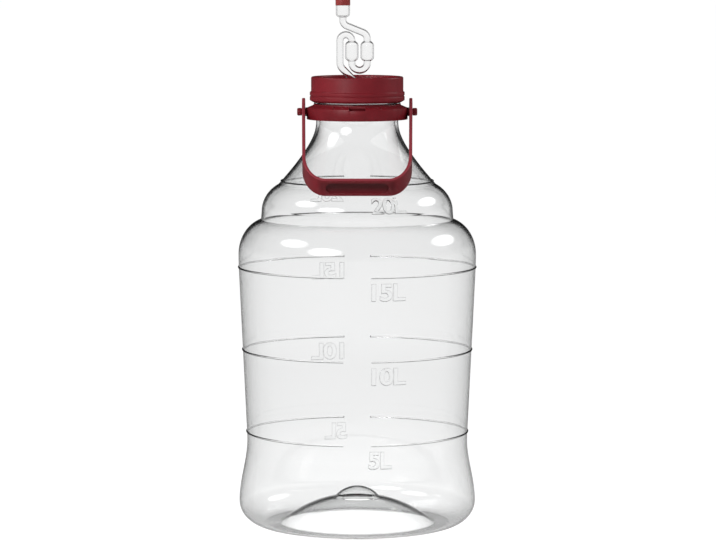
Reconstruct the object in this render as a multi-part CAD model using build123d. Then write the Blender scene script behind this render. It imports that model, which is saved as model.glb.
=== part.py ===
"""A clear blown carboy of about 20 litres, with a red screw cap, a swing handle and an airlock.

Millimetres, +Z up. The origin is the centre of the standing ring, and the front, where the
handle rests, faces -Y. The handle's trunnions lie along X, and the airlock's tube in the XZ plane.
"""

from build123d import *
from math import acos, asin, cos, degrees, radians, sin, sqrt, tan
import os

# Bottle: heel, waist and shoulder of the body
heel_radius = 135.5
heel_run = 32.0
heel_rise = 28.0
waist_radius = 126.4
waist_height = 102.0
shoulder_radius = 135.8
shoulder_height = 312.0
shoulder_ease = 20.0
shoulder_run = 35.0
shoulder_rise = 41.0

# Bottle: the drum above the shoulder, its dome, and the cone up to the neck
drum_radius = 110.0
drum_height = 9.4
drum_taper = 0.8
dome_run = 40.0
dome_rise = 36.0
crease_radius = 90.0
cone_height = 71.5
throat_radius = 60.3
throat_share = 0.52
crease_slope = 0.9

# Bottle: pushed-in base
foot_width = 15.0
dome_lift = 30.0
nipple_radius = 25.0
nipple_lift = 12.0
dome_slope = 0.2
base_fillet = 2.5

# Bottle: wall, and the raised rings that mark the volumes
body_wall = 1.3
neck_wall = 3.3
ring_count = 3
lowest_ring_lift = 6.0
highest_ring_drop = 15.0
cone_ring_travel = 5.0
ring_size = 0.9
ring_lift = 0.2
ring_sides = 6
ring_gap = 31.0

# Neck: seat of the collar, support bead and threaded finish
neck_radius = 46.8
collar_seat = 20.4
bead_height = 1.8
bead_projection = 2.5
bead_bevel = 0.4
finish_height = 12.6

# Screw thread shared by the neck and the cap
thread_pitch = 4.5
thread_depth = 2.0
thread_root = 2.6
thread_crest = 1.2
thread_turns = 1.5
thread_start = 3.2
thread_sink = 0.3
thread_gap = 1.0

# Cap, a panel sunk between a hollow rim
cap_bead_gap = 0.2
cap_skirt_wall = 2.8
cap_rim_height = 15.0
cap_rim_width = 6.4
cap_core_wall = 2.3
cap_core_roof = 2.6
cap_panel = 2.5
cap_rim_fillet = 1.6
cap_underside_rise = 2.1
cap_foot_land = 0.8
cap_band_height = 4.0
cap_band_projection = 1.5
cap_groove = 1.9
cap_bead = 3.4
cap_groove_depth = 0.7

# Liner and airlock grommet
liner_thickness = 1.5
liner_land = 5.5
liner_play = 0.5
grommet_hole_radius = 6.6
grommet_play = 0.1
grommet_lip = 2.6
grommet_lip_height = 1.5
grommet_bevel = 0.5
stem_play = 0.05

# Collar that snaps on under the support bead
collar_play = 0.3
collar_bead_gap = 0.2
collar_height = 17.4
collar_radius = 57.5
collar_wall = 2.2
collar_lip_width = 2.7
collar_lip_height = 1.2
collar_ledge_rise = 3.2
collar_inner_stop = 2.0
collar_ribs = 12
collar_rib_width = 1.6
window_width = 18.5
window_height = 4.6
window_setback = 0.6
slit_width = 1.0
slit_angle = 29.5
slit_height = 2.8

# Trunnions on the collar
pivot_drop = 9.1
boss_radius = 5.0
boss_length = 1.5
pin_radius = 3.4
pin_play = 0.05
head_radius = 4.4
head_length = 5.2
head_slot = 1.4
side_play = 0.3

# Swing handle, a bent flat strap
strap_thickness = 3.7
strap_width = 23.5
arm_overhang = 13.0
arm_corner = 4.0
arm_lean = 1.4
grip_reach = 130.0
grip_half_length = 35.0
corner_length = 40.0
scoop_depth = 2.0
scoop_width = 14.0
scoop_length = 70.0
scoop_round = 1.2
strap_round = 1.0
rest_gap = 0.5
tilt_step = 0.05

# Airlock, a twin-bubble tube, with each lift above the bend or the bubbles below it
tube_radius = 4.1
tube_wall = 1.0
stem_reach = 15.0
stem_bend = 6.4
stem_gap = 0.25
riser_offset = -19.6
riser_bend = 12.0
bubble_radius = 7.7
bubble_height = 23.3
bubble_round = 5.5
bubble_right = 11.4
bubble_left = -6.2
bubble_lift = 29.7
trap_drop = 1.35
arch_lift = 0.45
crossing_lift = 7.75
crossing_rise = 11.1
crossing_bend = 8.0
funnel_lift = 8.1
funnel_offset = -16.3
funnel_radius = 8.0
funnel_height = 13.0
funnel_round = 4.0
funnel_rim_radius = 7.1
funnel_rim_height = 6.0

# Dust cap over the airlock's funnel
dust_cap_play = 0.1
dust_cap_wall = 1.2
dust_cap_roof = 1.3
dust_cap_gap = 0.3
dust_cap_round = 0.8

# Heights that follow from the sizes above
drum_foot = shoulder_height + shoulder_rise * sin(acos((drum_radius - shoulder_radius) / shoulder_run + 1))
drum_top = drum_foot + drum_height
dome_centre = drum_radius - drum_taper - dome_run
crease_height = drum_top + dome_rise * sin(acos((crease_radius - dome_centre) / dome_run))
neck_height = crease_height + cone_height
bead_foot = neck_height + collar_seat
bead_top = bead_foot + bead_height
rim_height = bead_top + finish_height
panel_foot = rim_height + liner_thickness
panel_top = panel_foot + cap_panel
cap_foot = bead_top + cap_bead_gap
cap_top = panel_foot + cap_rim_height
bore_radius = neck_radius - neck_wall
skirt_bore = neck_radius + thread_depth + thread_gap
cap_radius = skirt_bore + cap_skirt_wall
recess_radius = cap_radius - cap_rim_width
collar_top = bead_foot - collar_bead_gap
collar_foot = collar_top - collar_height
collar_bore = neck_radius + collar_play
pivot_height = collar_top - pivot_drop
arm_inside = collar_radius + boss_length + side_play
stem_foot = panel_foot - stem_reach
stem_corner = panel_top + grommet_lip_height + stem_bend * tan(radians(22.5)) + stem_gap
riser_foot = stem_corner - riser_offset
bubble_foot = panel_top + bubble_lift
bubble_centre = bubble_foot + bubble_height / 2
trap_height = bubble_foot - trap_drop
arch_height = bubble_foot + bubble_height + arch_lift
crossing_foot = bubble_foot + bubble_height + crossing_lift
crossing_top = crossing_foot + crossing_rise
funnel_base = crossing_top + funnel_lift


def revolved(outline):
    """Turn a closed outline of radius and height into a solid."""
    return revolve(Plane.XZ * make_face(outline), Axis.Z)


def closed_profile(*points):
    """Closed outline through points of radius and height."""
    return Polyline(*points, close=True)


def cone_line(crease, inset):
    """Concave line from the crease up into the neck, or the wall's inside from there to the bore."""
    share = throat_share * (neck_radius - neck_end(inset)) + (1 - throat_share) * inset
    throat = (throat_radius - share, crease_height + throat_share * cone_height)
    return Spline(crease, throat, (neck_end(inset), neck_height), tangents=[(-crease_slope, 1), (0, 1)])


def neck_end(inset):
    """Radius at the top of the cone: the neck's outside, or its bore when drawn in."""
    return neck_radius if inset == 0 else bore_radius


def arc_share(run, reach, inset):
    """Quarter-ellipse parameter, in degrees, at which its level reach from the centre is left."""
    return degrees(acos((reach - inset) / (run - inset)))


def body_lines(inset):
    """Side of the bottle from the standing ring up to the neck, drawn in by an inset."""
    waist = Vector(waist_radius - inset, waist_height)
    corner = Vector(shoulder_radius - inset, shoulder_height - shoulder_ease / 2)
    taper = (corner - waist).normalized()
    ease_start = corner - taper * shoulder_ease / 2
    shoulder_centre = shoulder_radius - shoulder_run
    shoulder = EllipticalCenterArc((shoulder_centre, shoulder_height), shoulder_run - inset,
                                   shoulder_rise - inset, start_angle=0,
                                   arc_size=arc_share(shoulder_run, drum_radius - shoulder_centre, inset))
    dome = EllipticalCenterArc((dome_centre, drum_top), dome_run - inset, dome_rise - inset, start_angle=0,
                               arc_size=arc_share(dome_run, crease_radius - dome_centre, inset))
    return [
        EllipticalCenterArc((heel_radius - heel_run, heel_rise), heel_run - inset, heel_rise - inset,
                            start_angle=-90, arc_size=90),
        Spline((heel_radius - inset, heel_rise), waist, tangents=[(0, 1), taper]),
        Line(waist, ease_start),
        TangentArc(ease_start, (shoulder_radius - inset, shoulder_height), tangent=taper),
        shoulder,
        Line(shoulder @ 1, dome @ 0),
        dome,
        cone_line(dome @ 1, inset),
    ]


def base_lines(inset):
    """Pushed-in base, from the axis out to the end of the standing ring, raised by an inset."""
    foot_outside = heel_radius - heel_run
    foot_inside = foot_outside - foot_width + inset / 2
    nipple_edge = (nipple_radius + inset / 2, dome_lift + inset)
    return [
        TangentArc((0, dome_lift + nipple_lift + inset), nipple_edge, tangent=(1, 0)),
        TangentArc(nipple_edge, (foot_inside, inset), tangent=(1, -dome_slope)),
        Line((foot_inside, inset), (foot_outside, inset)),
    ]


def bottle_face(inset, top):
    """Half section of the bottle's outside, or of its inside when drawn in by the wall."""
    base = base_lines(inset)
    base_top = (base[0] @ 0).Y
    neck = Polyline((neck_end(inset), neck_height), (neck_end(inset), top), (0, top), (0, base_top))
    face = make_face(Curve() + base + body_lines(inset) + neck)
    ends = [base[0] @ 1, base[2] @ 0]
    corners = [vertex for vertex in face.vertices()
               if min((Vector(vertex) - end).length for end in ends) < 0.01]
    return fillet(corners, base_fillet)


def volume_ring(radius, height):
    """Raised ring that stops either side of a plain strip at the front and at the back."""
    half_gap = degrees(asin(ring_gap / 2 / radius))
    section = Pos(radius + ring_lift, height) * RegularPolygon(ring_size, ring_sides)
    right = revolve(Rot(0, 0, half_gap - 90) * (Plane.XZ * section), Axis.Z, 180 - 2 * half_gap)
    return [right, Rot(0, 0, 180) * right]


def thread(root_radius, outward, height, turns):
    """Helical rib of trapezoid section that stands in or out from a cylinder."""
    side = 1 if outward else -1
    path = Helix(thread_pitch, turns * thread_pitch, root_radius)
    root = -side * thread_sink
    crest = side * thread_depth
    section = Polyline((root, -thread_root / 2), (crest, -thread_crest / 2), (crest, thread_crest / 2),
                       (root, thread_root / 2), close=True)
    face = Plane(origin=path @ 0, x_dir=(1, 0, 0), z_dir=(0, -1, 0)) * make_face(section)
    return Pos(0, 0, height) * sweep(face, path, is_frenet=True)


def support_bead():
    """Flange under the thread, which the cap closes down to and the collar sits below."""
    root = bore_radius + neck_wall / 2
    edge = neck_radius + bead_projection
    return revolved(closed_profile((root, bead_foot), (edge - bead_bevel, bead_foot),
                                   (edge, bead_foot + bead_bevel), (edge, bead_top - bead_bevel),
                                   (edge - bead_bevel, bead_top), (root, bead_top)))


def bottle():
    """Blown bottle with its neck finish, volume rings and concave base."""
    outside = bottle_face(0, rim_height)
    inside = bottle_face(body_wall, rim_height + 1)
    body = revolve(Plane.XZ * outside, Axis.Z) - revolve(Plane.XZ * inside, Axis.Z)
    slope = (shoulder_radius - waist_radius) / (shoulder_height - shoulder_ease / 2 - waist_height)
    ring_step = (shoulder_height - highest_ring_drop - waist_height - lowest_ring_lift) / (ring_count - 1)
    rings = []
    for index in range(ring_count):
        lift = lowest_ring_lift + index * ring_step
        rings += volume_ring(waist_radius + slope * lift, waist_height + lift)
    cone_mark = body_lines(0)[-1].position_at(cone_ring_travel, position_mode=PositionMode.LENGTH)
    rings += volume_ring(cone_mark.X, cone_mark.Y)
    neck_thread = thread(neck_radius, True, bead_top + thread_start, thread_turns)
    return body + support_bead() + rings + neck_thread


def cap():
    """Screw cap with a sunk panel, a hollow rim, two bands round the skirt and an inside thread."""
    band_radius = cap_radius + cap_band_projection
    groove_radius = band_radius - cap_groove_depth
    band_foot = cap_foot + cap_underside_rise
    band_top = band_foot + cap_band_height
    bead_start = band_top + cap_groove
    bead_end = bead_start + cap_bead
    core_roof = cap_top - cap_core_roof
    core_radius = recess_radius + cap_core_wall
    outline = closed_profile(
        (skirt_bore, cap_foot), (skirt_bore + cap_foot_land, cap_foot), (band_radius, band_foot),
        (band_radius, band_top), (groove_radius, band_top + cap_groove / 3),
        (groove_radius, bead_start - cap_groove / 3), (band_radius, bead_start), (band_radius, bead_end),
        (cap_radius, bead_end + cap_groove_depth), (cap_radius, cap_top), (recess_radius, cap_top),
        (recess_radius, panel_top), (0, panel_top), (0, panel_foot), (core_radius, panel_foot),
        (core_radius, core_roof), (skirt_bore, core_roof))
    body = revolved(outline)
    rim = body.edges().filter_by(GeomType.CIRCLE).filter_by_position(Axis.Z, cap_top - 0.01, cap_top + 0.01)
    body = fillet(rim, cap_rim_fillet)
    inside = Rot(0, 0, 180) * thread(skirt_bore, False, bead_top + thread_start, thread_turns)
    return body + inside - Cylinder(grommet_hole_radius, 4 * rim_height)


def cap_liner():
    """Soft sealing ring between the cap's panel and the rim of the neck."""
    inside = bore_radius - liner_land / 2
    outside = recess_radius + cap_core_wall - liner_play
    return revolved(closed_profile((inside, rim_height), (outside, rim_height), (outside, panel_foot),
                                   (inside, panel_foot)))


def airlock_grommet():
    """Rubber bush that grips the panel round the airlock's stem."""
    bore = tube_radius + stem_play
    waist = grommet_hole_radius - grommet_play
    lip = grommet_hole_radius + grommet_lip
    top = panel_top + grommet_lip_height
    foot = panel_foot - grommet_lip_height
    return revolved(closed_profile(
        (bore, foot), (waist + grommet_bevel, foot), (lip, panel_foot - grommet_bevel), (lip, panel_foot),
        (waist, panel_foot), (waist, panel_top), (lip, panel_top), (lip, top - grommet_bevel),
        (lip - grommet_bevel, top), (bore, top)))


def collar_profile():
    """Hollow section of the collar, open below, with an inner lip under the bead."""
    ledge_foot = collar_top - collar_lip_height - collar_ledge_rise
    lip_outside = collar_bore + collar_lip_width
    outside = collar_radius - collar_wall
    roof = collar_top - collar_lip_height - collar_wall
    return closed_profile(
        (collar_bore, collar_foot + collar_inner_stop), (collar_bore, collar_top), (lip_outside, collar_top),
        (lip_outside, collar_top - collar_lip_height), (collar_radius, ledge_foot),
        (collar_radius, collar_foot), (outside, collar_foot), (outside, ledge_foot - collar_wall / 2),
        (collar_bore + collar_wall, roof), (collar_bore + collar_wall, collar_foot + collar_inner_stop))


def neck_collar():
    """Snap-on collar with inside ribs, latch windows, slits and a slotted trunnion at each side."""
    ring = revolved(collar_profile())
    rib_height = collar_height - collar_inner_stop - collar_lip_height - collar_ledge_rise
    rib_length = collar_radius - collar_bore - collar_wall
    rib = Box(rib_length, collar_rib_width, rib_height, align=(Align.MIN, Align.CENTER, Align.MIN))
    rib = Pos(collar_bore + collar_wall / 2, 0, collar_foot + collar_inner_stop) * rib
    for index in range(collar_ribs):
        ring += Rot(0, 0, (index + 0.5) * 360 / collar_ribs) * rib
    window_foot = collar_top - collar_lip_height - window_height
    slit_foot = collar_top - collar_lip_height - slit_height
    reach = collar_radius - collar_bore
    cut_start = collar_bore + collar_lip_width + window_setback
    latch = Box(window_width, reach, 2 * window_height, align=(Align.CENTER, Align.MAX, Align.MIN))
    latch = Pos(0, -cut_start, window_foot) * latch
    slit = Box(slit_width, reach, 2 * slit_height, align=(Align.CENTER, Align.MAX, Align.MIN))
    slit = Pos(0, -cut_start, slit_foot) * slit
    for turn in (0, 180):
        ring -= Rot(0, 0, turn) * latch
        ring -= Rot(0, 0, turn - slit_angle) * slit
        ring -= Rot(0, 0, turn + slit_angle) * slit
    for side in (0, 180):
        ring += Rot(0, 0, side) * trunnion()
    return ring


def trunnion():
    """Boss, pin and slotted snap head that stand out of the collar along +X."""
    inside = collar_bore + collar_wall / 2
    boss_end = collar_radius + boss_length
    head_start = arm_inside + strap_thickness + side_play
    along = Plane(origin=(inside, 0, pivot_height), x_dir=(0, 1, 0), z_dir=(1, 0, 0))
    aligned = (Align.CENTER, Align.CENTER, Align.MIN)
    boss = Cylinder(boss_radius, boss_end - inside, align=aligned)
    pin = Cylinder(pin_radius, head_start + head_length - inside, align=aligned)
    head = Pos(0, 0, head_start - inside) * Cylinder(head_radius, head_length, align=aligned)
    head = chamfer(head.faces().sort_by(Axis.Z)[-1].edges(), head_radius - pin_radius)
    slot = Box(head_slot, 2 * collar_radius, collar_radius, align=aligned)
    slot = Pos(0, 0, boss_end - inside + side_play) * slot
    return along * (boss + pin + head - slot)


def strap_outline(thickness):
    """Inside line of the strap in the XZ plane, or its outside line a thickness away."""
    arm = arm_inside + thickness
    knee = arm - arm_lean
    reach = grip_reach + thickness
    knee_height = corner_length - grip_reach
    corner = EllipticalCenterArc((grip_half_length, knee_height), knee - grip_half_length,
                                 reach + knee_height, start_angle=-90, arc_size=90)
    side = Curve() + [
        Line((0, -reach), (grip_half_length, -reach)), corner,
        Polyline((knee, knee_height), (arm, 0), (arm, arm_overhang), (0, arm_overhang), (0, -reach))]
    half = make_face(side)
    return half + mirror(half, Plane.YZ)


def handle_rest_tilt():
    """Lean from straight down at which the grip's back edge comes to rest on the shoulder."""
    tilt = 0
    while grip_gap(tilt) < rest_gap:
        tilt += tilt_step
    return tilt


def grip_gap(tilt):
    """Level distance from the grip's back edge to the bottle at a lean from straight down."""
    gaps = []
    for reach in (grip_reach, grip_reach + strap_thickness):
        forward = reach * sin(radians(tilt)) - strap_width / 2 * cos(radians(tilt))
        height = pivot_height - reach * cos(radians(tilt)) - strap_width / 2 * sin(radians(tilt))
        gaps.append(forward - shoulder_reach(height))
    return min(gaps)


def shoulder_reach(height):
    """Outside radius of the bottle at a height, with the cone taken as straight."""
    if height < shoulder_height:
        return shoulder_radius
    if height < drum_foot:
        lift = (height - shoulder_height) / shoulder_rise
        return shoulder_radius - shoulder_run * (1 - sqrt(1 - lift**2))
    if height < drum_top:
        return drum_radius
    if height < crease_height:
        return dome_centre + dome_run * sqrt(1 - ((height - drum_top) / dome_rise)**2)
    lift = (height - crease_height) / cone_height
    return max(neck_radius, crease_radius - lift * (crease_radius - neck_radius))


def handle():
    """Flat strap bent into a bail, with rounded edges, trunnion holes and a scoop under the grip."""
    band = extrude(Plane.XZ * (strap_outline(strap_thickness) - strap_outline(0)), strap_width / 2, both=True)
    below = Box(4 * arm_inside, strap_width, grip_reach + strap_thickness + arm_overhang)
    below = fillet(below.faces().sort_by(Axis.Z)[-1].edges().filter_by(Axis.X), arm_corner)
    band &= Pos(0, 0, (arm_overhang - grip_reach - strap_thickness) / 2) * below
    scoop = extrude(SlotOverall(scoop_length, scoop_width), scoop_depth)
    scoop = fillet(scoop.faces().sort_by(Axis.Z)[-1].edges(), scoop_round)
    band = fillet(band.edges(), strap_round) - Pos(0, 0, -grip_reach - strap_thickness) * scoop
    band -= Rot(0, 90, 0) * Cylinder(pin_radius + pin_play, 4 * arm_inside)
    return Pos(0, 0, pivot_height) * Rot(-handle_rest_tilt(), 0, 0) * band


def airlock_tube(path, radius):
    """Round rod of one radius along a path in the XZ plane."""
    start = Plane(origin=path @ 0, z_dir=path % 0)
    return sweep(start * Circle(radius), path)


def airlock_form(inset, run_out):
    """Outside of the airlock, or its inside when drawn in by the wall and run out at both ends."""
    tube = tube_radius - inset
    xz = Plane.XZ
    crossing = xz * FilletPolyline(
        (funnel_offset, funnel_base + 2 * tube_wall), (funnel_offset, crossing_top),
        (bubble_right, crossing_foot), (bubble_right, bubble_centre), radius=crossing_bend)
    trap_middle = (bubble_right + bubble_left) / 2
    trap_bend = (bubble_right - bubble_left) / 2
    trap = xz * (Curve() + [
        Line((bubble_right, bubble_centre), (bubble_right, trap_height)),
        ThreePointArc((bubble_right, trap_height), (trap_middle, trap_height - trap_bend),
                      (bubble_left, trap_height)),
        Line((bubble_left, trap_height), (bubble_left, bubble_centre))])
    arch_middle = (bubble_left + riser_offset) / 2
    arch_bend = (bubble_left - riser_offset) / 2
    arch = xz * (Curve() + [
        Line((bubble_left, bubble_centre), (bubble_left, arch_height)),
        ThreePointArc((bubble_left, arch_height), (arch_middle, arch_height + arch_bend),
                      (riser_offset, arch_height)),
        Line((riser_offset, arch_height), (riser_offset, bubble_centre))])
    stem = xz * FilletPolyline((riser_offset, bubble_centre), (riser_offset, riser_foot),
                               (0, riser_foot + riser_offset), (0, stem_foot - run_out),
                               radius=[riser_bend, stem_bend])
    form = airlock_tube(crossing, tube) + airlock_tube(trap, tube) + airlock_tube(arch, tube)
    form += airlock_tube(stem, tube)
    bubble = Cylinder(bubble_radius - inset, bubble_height - 2 * inset)
    bubble = fillet(bubble.edges().filter_by(GeomType.CIRCLE), bubble_round - inset)
    for offset_x in (bubble_left, bubble_right):
        form += Pos(offset_x, 0, bubble_centre) * bubble
    return form + Pos(funnel_offset, 0, 0) * funnel(inset, run_out)


def funnel(inset, run_out):
    """Cup at the top of the airlock, with a stepped rim for the dust cap."""
    foot = funnel_base + inset
    shoulder = funnel_base + funnel_height
    wide = funnel_radius - inset
    rim = funnel_rim_radius - inset
    end = shoulder + funnel_rim_height + run_out
    outline = Polyline((0, foot), (wide, foot), (wide, shoulder - inset), (rim, shoulder), (rim, end),
                       (0, end), close=True)
    face = make_face(outline)
    corner = face.vertices().filter_by(lambda v: v.X > 1 and v.Y < foot + 0.1)
    return revolve(Plane.XZ * fillet(corner, funnel_round - inset), Axis.Z)


def airlock():
    """Clear moulded tube with a stem, a trap between two bubbles and a cup on top."""
    return airlock_form(0, 0) - airlock_form(tube_wall, 1)


def airlock_dust_cap():
    """Loose cap that drops over the rim of the airlock's cup."""
    inside = funnel_rim_radius + dust_cap_play
    outside = inside + dust_cap_wall
    foot = funnel_base + funnel_height + dust_cap_gap
    roof = funnel_base + funnel_height + funnel_rim_height
    top = roof + dust_cap_roof
    body = revolved(closed_profile((inside, foot), (outside, foot), (outside, top), (0, top), (0, roof),
                                   (inside, roof)))
    body = fillet(body.faces().sort_by(Axis.Z)[-1].edges(), dust_cap_round)
    return Pos(funnel_offset, 0, 0) * body


nodes = {
    "bottle": bottle(),
    "cap": cap(),
    "cap_liner": cap_liner(),
    "airlock_grommet": airlock_grommet(),
    "airlock": airlock(),
    "airlock_dust_cap": airlock_dust_cap(),
    "neck_collar": neck_collar(),
    "handle": handle(),
}

os.makedirs("parts", exist_ok=True)
for name, node in nodes.items():
    export_step(node, f"parts/{name}.step")
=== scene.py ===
import math

import bmesh
import bpy
import numpy as np
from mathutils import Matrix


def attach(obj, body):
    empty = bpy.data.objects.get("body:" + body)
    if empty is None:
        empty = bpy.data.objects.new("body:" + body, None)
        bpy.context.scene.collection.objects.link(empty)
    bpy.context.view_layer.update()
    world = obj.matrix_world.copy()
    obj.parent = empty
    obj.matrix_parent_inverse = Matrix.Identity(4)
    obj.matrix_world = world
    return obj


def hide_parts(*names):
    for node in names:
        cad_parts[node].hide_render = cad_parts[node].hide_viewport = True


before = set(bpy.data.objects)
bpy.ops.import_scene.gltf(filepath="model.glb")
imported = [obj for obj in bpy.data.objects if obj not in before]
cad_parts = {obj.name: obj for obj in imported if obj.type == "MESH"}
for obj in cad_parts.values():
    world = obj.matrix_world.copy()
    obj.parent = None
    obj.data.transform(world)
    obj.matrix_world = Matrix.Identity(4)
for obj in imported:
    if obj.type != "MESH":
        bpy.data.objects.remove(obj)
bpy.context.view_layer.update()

# Studio. A camera nearly four metres away looks slightly down on the carboy. The surround is white
# behind it and dark overhead and in reflections, so that clear plastic draws dark outlines, and
# three oval softboxes leave pale highlights on it. Lengths are in millimetres all through.
MM = 0.001
FOCAL_PIXELS = 3421.0
IMAGE_WIDTH = 716
SENSOR_WIDTH = 36.0
CAMERA_DISTANCE = 3900.0
CAMERA_HEIGHT = 669.0
CAMERA_SIDE = 0.9
AIM_HEIGHT = 293.0
THROUGH_STOPS = ((0.0, 0.98), (0.03, 0.9), (0.1, 0.4), (0.22, 0.06), (0.5, 0.02), (1.0, 0.02))
MIRROR_STOPS = ((0.0, 0.1), (0.03, 0.06), (0.08, 0.02), (0.3, 0.01), (1.0, 0.01))
PLAIN_SKY = 0.5
LAMP_FADE, LAMP_PEAK = 0.45, 1.7
WHITE = (1.0, 1.0, 1.0, 1.0)


def linked(name, data):
    """New object with its data, linked to the scene."""
    item = bpy.data.objects.new(name, data)
    bpy.context.scene.collection.objects.link(item)
    return item


camera_data = bpy.data.cameras.new("studio_camera")
camera_data.sensor_width = SENSOR_WIDTH
camera_data.lens = FOCAL_PIXELS * SENSOR_WIDTH / IMAGE_WIDTH
camera = linked("studio_camera", camera_data)
camera.location = (CAMERA_SIDE * MM, -CAMERA_DISTANCE * MM, CAMERA_HEIGHT * MM)
camera.rotation_euler = (math.pi / 2 - math.atan2(CAMERA_HEIGHT - AIM_HEIGHT, CAMERA_DISTANCE), 0, 0)
bpy.context.scene.camera = camera
bpy.context.scene.view_settings.view_transform = "Standard"


def node_maker(tree):
    """Return a function that adds one node to a tree, sets or links its inputs, and its own settings."""
    def add(kind, inputs=None, **settings):
        node = tree.nodes.new(kind)
        for key, value in settings.items():
            setattr(node, key, value)
        for key, value in (inputs or {}).items():
            if isinstance(value, bpy.types.NodeSocket):
                tree.links.new(value, node.inputs[key])
            else:
                node.inputs[key].default_value = value
        return node
    return add


def either_ray(add, path, *kinds):
    """Mask that is 1 for rays of any of the named kinds: the largest of their flags."""
    mask = path.outputs[kinds[0]]
    for kind in kinds[1:]:
        mask = add("ShaderNodeMath", {0: mask, 1: path.outputs[kind]}, operation="MAXIMUM").outputs[0]
    return mask


def grey_ramp(add, share, stops):
    """Ramp of grey levels over a share from 0 to 1."""
    ramp = add("ShaderNodeValToRGB", {0: share})
    while len(ramp.color_ramp.elements) < len(stops):
        ramp.color_ramp.elements.new(1.0)
    for element, (place, level) in zip(ramp.color_ramp.elements, stops):
        element.position = place
        element.color = (level, level, level, 1)
    return ramp.outputs[0]


def studio_world():
    """White to the camera, white to dark by height through plastic, darker in reflections, else grey."""
    world = bpy.data.worlds.new("studio")
    bpy.context.scene.world = world
    world.use_nodes = True
    world.node_tree.nodes.clear()
    add = node_maker(world.node_tree)
    path = add("ShaderNodeLightPath")
    direction = add("ShaderNodeTexCoord").outputs["Generated"]
    height = add("ShaderNodeSeparateXYZ", {0: direction}).outputs["Z"]
    shiny = either_ray(add, path, "Is Glossy Ray", "Is Transmission Ray")
    through = path.outputs["Is Transmission Ray"]
    sky = add("ShaderNodeMix", {0: through, 6: grey_ramp(add, height, MIRROR_STOPS),
                                7: grey_ramp(add, height, THROUGH_STOPS)}, data_type="RGBA")
    lit = add("ShaderNodeMix", {0: shiny, 6: (PLAIN_SKY, PLAIN_SKY, PLAIN_SKY, 1), 7: sky.outputs[2]},
              data_type="RGBA")
    shown = add("ShaderNodeMix", {0: path.outputs["Is Camera Ray"], 6: lit.outputs[2], 7: WHITE},
                data_type="RGBA")
    back = add("ShaderNodeBackground", {"Color": shown.outputs[2], "Strength": 1.0})
    add("ShaderNodeOutputWorld", {"Surface": back.outputs[0]})


def soft_edged(lamp):
    """Lets a lamp fade from its middle to its rim, as a softbox does, by its own surface coordinates."""
    lamp.use_nodes = True
    add = node_maker(lamp.node_tree)
    spot = add("ShaderNodeNewGeometry").outputs["Parametric"]
    away = add("ShaderNodeVectorMath", {0: spot, 1: (0.5, 0.5, 0.0)}, operation="SUBTRACT")
    flat = add("ShaderNodeVectorMath", {0: away.outputs[0], 1: (2.0, 2.0, 0.0)}, operation="MULTIPLY")
    reach = add("ShaderNodeVectorMath", {0: flat.outputs[0]}, operation="LENGTH")
    fade = add("ShaderNodeMapRange", {0: reach.outputs["Value"], 1: LAMP_FADE, 2: 1.0, 3: LAMP_PEAK, 4: 0.0},
               interpolation_type="SMOOTHSTEP")
    emission = next(node for node in lamp.node_tree.nodes if node.type == "EMISSION")
    lamp.node_tree.links.new(fade.outputs[0], emission.inputs["Strength"])


def softbox(name, azimuth, elevation, distance, width, height, radiance):
    """Oval lamp round the object, aimed at its middle: power = radiance x pi x area, area = pi/4 w h."""
    turn, tilt = math.radians(azimuth), math.radians(elevation)
    lamp = bpy.data.lights.new(name, "AREA")
    lamp.shape = "ELLIPSE"
    lamp.size, lamp.size_y = width * MM, height * MM
    lamp.energy = radiance * math.pi * math.pi / 4 * lamp.size * lamp.size_y
    soft_edged(lamp)
    box = linked(name, lamp)
    box.location = (distance * MM * math.sin(turn) * math.cos(tilt),
                    -distance * MM * math.cos(turn) * math.cos(tilt),
                    AIM_HEIGHT * MM + distance * MM * math.sin(tilt))
    box.rotation_euler = (math.pi / 2 - tilt, 0, turn)


studio_world()
softbox("key_softbox", azimuth=-33, elevation=25, distance=2200, width=1450, height=1000, radiance=4.6)
softbox("left_softbox", azimuth=-75, elevation=38, distance=2200, width=1350, height=950, radiance=3.3)
softbox("right_softbox", azimuth=107, elevation=31, distance=2200, width=1600, height=900, radiance=3.3)

# Floor. A pale sweep that runs out of view. Where it is seen it shines white, with a diffuse share
# that keeps the carboy's soft shadow. Through plastic it is brightest close to the carboy, and to
# all other light it is a plain pale surface.
FLOOR_REACH, FLOOR_GAP = 40000.0, 0.1
FLOOR_GLOW = 0.9
FLOOR_THROUGH_STOPS = ((0.042, 1.14), (0.052, 0.9), (0.15, 0.87), (0.27, 0.79), (0.49, 0.75),
                       (0.79, 0.745), (1.0, 0.79))
FLOOR_THROUGH_REACH = 2.0
FLOOR_GRAIN_SCALE, FLOOR_GRAIN_TONE = 3.0, 0.99
FLOOR_MIRROR_GLOW = 0.03
FLOOR_SEEN = (0.22, 0.22, 0.22, 1)
FLOOR_PLAIN = (0.8, 0.8, 0.8, 1)


def blank_material(name):
    """New material with no nodes yet, and the function that adds them."""
    material = bpy.data.materials.new(name)
    material.use_nodes = True
    material.node_tree.nodes.clear()
    return material, node_maker(material.node_tree)


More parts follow.
